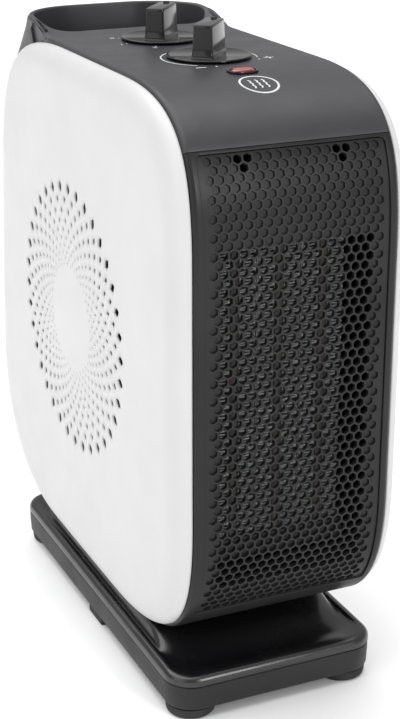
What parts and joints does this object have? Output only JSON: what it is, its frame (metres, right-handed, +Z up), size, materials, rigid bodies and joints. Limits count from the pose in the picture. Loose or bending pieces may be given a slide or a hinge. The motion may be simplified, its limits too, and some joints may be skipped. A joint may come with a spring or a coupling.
{
  "type": "ceramic space heater",
  "caption": "Upright ceramic fan heater with a dark core between two crowned white side covers, a honeycomb outlet grille, two control knobs, a finger-well handle and a swinging base.",
  "frame": {"origin": "on the floor under the middle of the body, at the centre of the whole part's footprint", "axes": "+Z up through the body, the outlet grille faces -Y, +X to the right of someone facing +Y"},
  "size_m": [0.115, 0.2545, 0.3076],
  "materials": {
    "cover_white": "satin white moulded plastic",
    "top_grey": "satin dark grey moulded plastic",
    "grille_grey": "fine satin dark grey moulded plastic",
    "knob_black": "polished black plastic",
    "base_black": "satin black moulded plastic",
    "skirt_grey": "fine textured dark grey plastic",
    "foot_rubber": "matt black rubber",
    "inner_plastic": "black heat resistant plastic",
    "heat_plastic": "cream heat resistant plastic",
    "fin_aluminium": "bright folded foil",
    "ptc_ceramic": "dark ceramic in a varnished sleeve",
    "steel": "plain steel",
    "copper": "enamelled copper winding",
    "lens_red": "clear red plastic",
    "lamp_glass": "small glass lamp"
  },
  "bodies": {
    "base": {"base_tray": "skirt_grey", "base_lid": "base_black", "foot_front_left": "foot_rubber", "foot_front_right": "foot_rubber", "foot_back_left": "foot_rubber", "foot_back_right": "foot_rubber", "side_rest_left": "foot_rubber", "side_rest_right": "foot_rubber", "base_screw_1": "steel", "base_screw_2": "steel", "base_screw_3": "steel", "base_screw_4": "steel", "turntable_ring": "heat_plastic", "swing_motor": "steel"},
    "crank": {"crank_disc": "heat_plastic"},
    "heater": {"swivel_spindle": "inner_plastic", "swing_arm": "steel", "spindle_retainer": "inner_plastic", "rear_shell": "grille_grey", "front_frame": "grille_grey", "front_grille": "grille_grey", "top_cover": "top_grey", "side_plate_left": "inner_plastic", "side_plate_right": "inner_plastic", "side_cover_left": "cover_white", "side_cover_right": "cover_white", "blower_housing_left": "inner_plastic", "blower_housing_right": "inner_plastic", "outlet_duct": "inner_plastic", "motor_stator": "steel", "motor_coil": "copper", "motor_bracket_inner": "fin_aluminium", "motor_bracket_outer": "fin_aluminium", "ptc_holder_bottom": "heat_plastic", "ptc_holder_top": "heat_plastic", "thermal_cutout": "steel", "thermostat": "inner_plastic", "mode_switch": "inner_plastic", "indicator_lens": "lens_red", "indicator_lamp": "lamp_glass", "cord_gland": "foot_rubber", "terminal_block": "heat_plastic", "tip_over_switch": "inner_plastic", "ptc_fin_1": "fin_aluminium", "ptc_fin_2": "fin_aluminium", "ptc_fin_3": "fin_aluminium", "ptc_fin_4": "fin_aluminium", "ptc_fin_5": "fin_aluminium", "ptc_fin_6": "fin_aluminium", "ptc_bar_1": "ptc_ceramic", "ptc_bar_2": "ptc_ceramic", "ptc_bar_3": "ptc_ceramic", "ptc_divider_1": "fin_aluminium", "ptc_divider_2": "fin_aluminium"},
    "blower": {"impeller": "inner_plastic", "motor_rotor": "steel"},
    "thermostat_dial": {"thermostat_knob": "knob_black", "thermostat_shaft": "steel"},
    "mode_dial": {"mode_knob": "knob_black", "mode_switch_shaft": "steel"}
  },
  "joints": [
    {"name": "swing", "type": "hinge", "parent": "base", "child": "heater", "pos_m": [0, -0.0067, 0], "axis": [0, 0, 1], "range_deg": [-30, 30]},
    {"name": "crank_turn", "type": "hinge", "parent": "base", "child": "crank", "pos_m": [0, 0.0373, 0], "axis": [0, 0, 1], "continuous": true},
    {"name": "blower_spin", "type": "hinge", "parent": "heater", "child": "blower", "pos_m": [0, 0, 0.1633], "axis": [1, 0, 0], "continuous": true},
    {"name": "thermostat_turn", "type": "hinge", "parent": "heater", "child": "thermostat_dial", "pos_m": [0, -0.035, 0.29], "axis": [0, 0, 1], "range_deg": [-270, 0]},
    {"name": "mode_turn", "type": "hinge", "parent": "heater", "child": "mode_dial", "pos_m": [0, 0.02, 0.29], "axis": [0, 0, 1], "range_deg": [-180, 0]}
  ]
}
